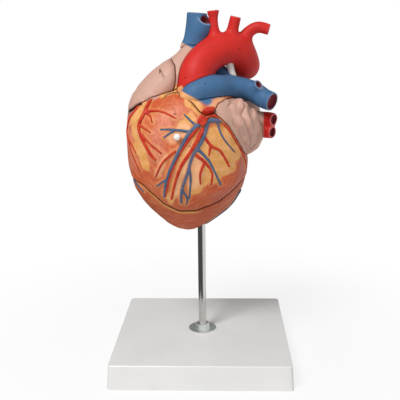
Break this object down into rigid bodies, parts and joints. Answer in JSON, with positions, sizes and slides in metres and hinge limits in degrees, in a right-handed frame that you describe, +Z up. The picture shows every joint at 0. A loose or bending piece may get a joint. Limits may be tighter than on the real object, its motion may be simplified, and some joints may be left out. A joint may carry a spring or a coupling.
{
  "type": "human heart anatomy model",
  "caption": "Twice-life-size classroom heart on a rod and base. The front wall and both atrium walls pull off to show chambers, valves and papillary muscles.",
  "frame": {"origin": "middle of the base's underside, on the surface that it stands on", "axes": "+Z up along the rod, +X to the viewer's right, +Y away from the viewer, so the front wall faces -Y"},
  "size_m": [0.18, 0.18, 0.3555],
  "materials": {
    "base_plastic": "satin moulded",
    "rod_chrome": "bright plated",
    "zinc": "bright zinc",
    "nylon": "natural",
    "muscle": "hand painted satin",
    "atrium": "hand painted satin",
    "artery_red": "painted satin",
    "vein_blue": "painted satin",
    "ligament": "painted",
    "valve": "painted",
    "papillary": "painted",
    "knob_white": "moulded",
    "pin_steel": "bright",
    "hook_brass": "bright"
  },
  "bodies": {
    "stand": {"base_plate": "base_plastic", "support_rod": "rod_chrome", "base_washer": "zinc", "rod_nut": "zinc", "under_washer": "zinc", "under_nut": "zinc"},
    "liner": {"rod_liner": "nylon"},
    "heart": {"right_ventricle_body": "muscle", "left_ventricle_body": "muscle", "right_atrium_body": "atrium", "left_atrium_body": "atrium", "aorta_arch": "artery_red", "pulmonary_trunk": "vein_blue", "arterial_ligament": "ligament", "superior_vena_cava": "vein_blue", "inferior_vena_cava": "vein_blue", "left_pulmonary_veins": "artery_red", "right_pulmonary_veins": "artery_red", "tricuspid_valve": "valve", "mitral_valve": "valve", "pulmonary_valve": "valve", "aortic_valve": "valve", "papillary_muscles": "papillary", "chordae": "valve", "rear_arteries": "artery_red", "rear_veins": "vein_blue", "locating_pins": "pin_steel"},
    "front_cover": {"front_wall": "muscle", "pull_knob": "knob_white", "front_arteries": "artery_red", "front_veins": "vein_blue"},
    "right_cover": {"right_atrium_wall": "atrium", "wall_hook": "hook_brass"},
    "left_cover": {"left_atrium_wall": "atrium"}
  },
  "joints": [
    {"name": "heart_lift", "type": "slide", "parent": "stand", "child": "liner", "axis": [0, 0, 1], "range_m": [0, 0.05]},
    {"name": "heart_turn", "type": "hinge", "parent": "liner", "child": "heart", "pos_m": [0, 0, 0.16], "axis": [0, 0, 1], "continuous": true},
    {"name": "front_wall_pull", "type": "slide", "parent": "heart", "child": "front_cover", "axis": [0, -1, 0], "range_m": [0, 0.08]},
    {"name": "right_wall_pull", "type": "slide", "parent": "heart", "child": "right_cover", "axis": [0, -1, 0], "range_m": [0, 0.08]},
    {"name": "left_wall_pull", "type": "slide", "parent": "heart", "child": "left_cover", "axis": [0, -1, 0], "range_m": [0, 0.08]}
  ]
}
